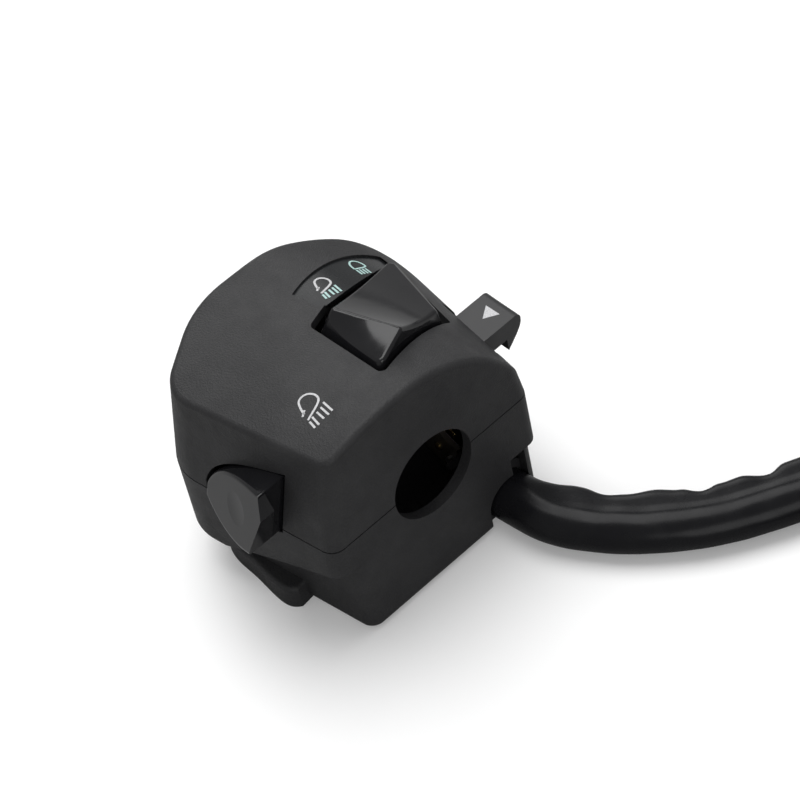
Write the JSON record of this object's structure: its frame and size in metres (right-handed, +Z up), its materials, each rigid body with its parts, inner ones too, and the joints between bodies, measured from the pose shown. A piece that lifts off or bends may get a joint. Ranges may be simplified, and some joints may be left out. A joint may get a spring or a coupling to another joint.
{
  "type": "handlebar switch cluster",
  "caption": "Left handlebar switch housing in two clamped shells with dimmer rocker, sliding turn lever, passing trigger, horn button and sleeved harness ending in a plug",
  "frame": {"origin": "centre of the bar bore on the flat end face", "axes": "+X along the bore out of the flat end face towards the grip, +Y to the rider, +Z up, square to the parting plane"},
  "size_m": [0.2419, 0.1773, 0.0638],
  "materials": {
    "black_housing": "fine moulded grain",
    "board_black": "laminated board",
    "brass": "stamped",
    "carrier_white": "low-friction moulding",
    "gloss_black": "polished",
    "plug_black": "moulded",
    "rubber": "soft",
    "satin_black": "semi-matt",
    "sleeve_black": "soft vinyl sleeve",
    "spring_steel": "bright wire",
    "window_black": "smooth, printed pictograms",
    "zinc_steel": "zinc plated"
  },
  "bodies": {
    "housing": {"cable_coil": "sleeve_black", "cable_grommet": "rubber", "cable_sleeve": "sleeve_black", "clamp_insert_front": "brass", "clamp_insert_nose": "brass", "clamp_insert_rear": "brass", "clamp_screw_front": "zinc_steel", "clamp_screw_nose": "zinc_steel", "clamp_screw_rear": "zinc_steel", "dimmer_plate": "board_black", "dimmer_rivet_front": "brass", "dimmer_rivet_rear": "brass", "dimmer_screw_left": "zinc_steel", "dimmer_screw_right": "zinc_steel", "harness_plug": "plug_black", "horn_plate": "board_black", "horn_rivet_inner": "brass", "horn_rivet_outer": "brass", "horn_screw_inner": "zinc_steel", "horn_screw_outer": "zinc_steel", "horn_spring": "spring_steel", "icon_window": "window_black", "lower_shell": "black_housing", "pass_leaf": "brass", "pass_plate": "board_black", "pass_rivet": "brass", "pass_screw": "zinc_steel", "plug_boot": "rubber", "plug_terminal_1": "brass", "plug_terminal_2": "brass", "plug_terminal_3": "brass", "plug_terminal_4": "brass", "plug_terminal_5": "brass", "plug_terminal_6": "brass", "rocker_pin": "zinc_steel", "tray_screw_front": "zinc_steel", "tray_screw_rear": "zinc_steel", "trigger_pin": "zinc_steel", "trigger_spring": "spring_steel", "turn_contact_left": "brass", "turn_contact_off": "brass", "turn_contact_right": "brass", "turn_tray": "board_black", "upper_shell": "black_housing"},
    "rocker": {"dimmer_rocker": "gloss_black", "rocker_contact_front": "brass", "rocker_contact_rear": "brass"},
    "trigger": {"pass_trigger": "gloss_black"},
    "carrier": {"turn_carrier": "carrier_white", "turn_wiper": "brass", "detent_ball": "spring_steel", "detent_spring": "spring_steel", "cancel_spring": "spring_steel"},
    "lever": {"turn_lever": "satin_black"},
    "horn": {"horn_button": "satin_black", "horn_contact": "brass"}
  },
  "joints": [
    {"name": "dimmer_rock", "type": "hinge", "parent": "housing", "child": "rocker", "pos_m": [-0.02258, 0.01021, 0.01778], "axis": [0.94, 0.3412, 0.0022], "range_deg": [0, 8]},
    {"name": "trigger_pull", "type": "hinge", "parent": "housing", "child": "trigger", "pos_m": [-0.0313, -0.0276, 0.006], "axis": [0, 0, 1], "range_deg": [0, 8], "stiffness_Nm_per_rad": 0.25, "springref_deg": -5.73},
    {"name": "turn_slide", "type": "slide", "parent": "housing", "child": "carrier", "axis": [1, 0, 0], "range_m": [-0.004, 0.004]},
    {"name": "cancel_push", "type": "slide", "parent": "carrier", "child": "lever", "axis": [0, -1, 0], "range_m": [0, 0.0018], "stiffness_N_per_m": 900, "springref_m": -0.001},
    {"name": "horn_push", "type": "slide", "parent": "housing", "child": "horn", "axis": [-0.1544, -0.988, 0], "range_m": [0, 0.0014], "stiffness_N_per_m": 1500, "springref_m": -0.001}
  ]
}
